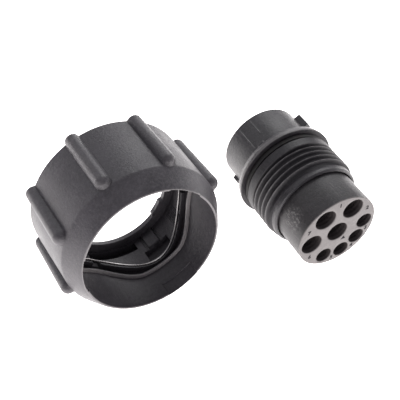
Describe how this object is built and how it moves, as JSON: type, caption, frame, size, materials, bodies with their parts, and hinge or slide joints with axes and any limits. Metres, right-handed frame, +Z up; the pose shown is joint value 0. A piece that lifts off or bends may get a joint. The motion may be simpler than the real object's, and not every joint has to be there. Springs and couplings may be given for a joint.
{
  "type": "trailer wiring connector",
  "caption": "Round bayonet trailer wiring connector: ribbed coupling ring lying beside its threaded plug with stepped wire cavities and socket contacts.",
  "frame": {"origin": "centre of the base of the whole object's box, on the surface both items lie on", "axes": "+X from the ring to the plug, -Y out of the ring's mouth, +Z up"},
  "size_m": [0.0912, 0.0438, 0.0456],
  "materials": {
    "ring_plastic": "satin moulded",
    "shell_plastic": "satin moulded",
    "insert_plastic": "fine-grained moulded",
    "lock_plastic": "moulded",
    "rubber": "matt",
    "spring_steel": "drawn",
    "contact_brass": "turned"
  },
  "bodies": {
    "plug": {"plug_shell": "shell_plastic", "contact_insert": "insert_plastic", "insert_seal": "rubber", "flange_seal": "rubber", "power_contact_1": "contact_brass", "power_contact_2": "contact_brass", "power_contact_3": "contact_brass", "power_contact_4": "contact_brass", "power_hood_1": "spring_steel", "power_hood_2": "spring_steel", "power_hood_3": "spring_steel", "power_hood_4": "spring_steel", "signal_contact_1": "contact_brass", "signal_contact_2": "contact_brass", "signal_contact_3": "contact_brass", "signal_contact_4": "contact_brass", "signal_hood_1": "spring_steel", "signal_hood_2": "spring_steel", "signal_hood_3": "spring_steel", "signal_hood_4": "spring_steel"},
    "spring": {"wave_spring": "spring_steel"},
    "ring": {"coupling_ring": "ring_plastic"},
    "lock": {"contact_lock": "lock_plastic"}
  },
  "joints": [
    {"name": "ring_slide", "type": "slide", "parent": "plug", "child": "spring", "axis": [0, 1, 0], "range_m": [0, 0.036]},
    {"name": "ring_turn", "type": "hinge", "parent": "spring", "child": "ring", "pos_m": [-0.02282, -0.01166, 0.02279], "axis": [0, -1, 0], "range_deg": [0, 45]},
    {"name": "lock_slide", "type": "slide", "parent": "plug", "child": "lock", "axis": [0.0357, 0.9962, 0.0797], "range_m": [0, 0.0015]}
  ]
}
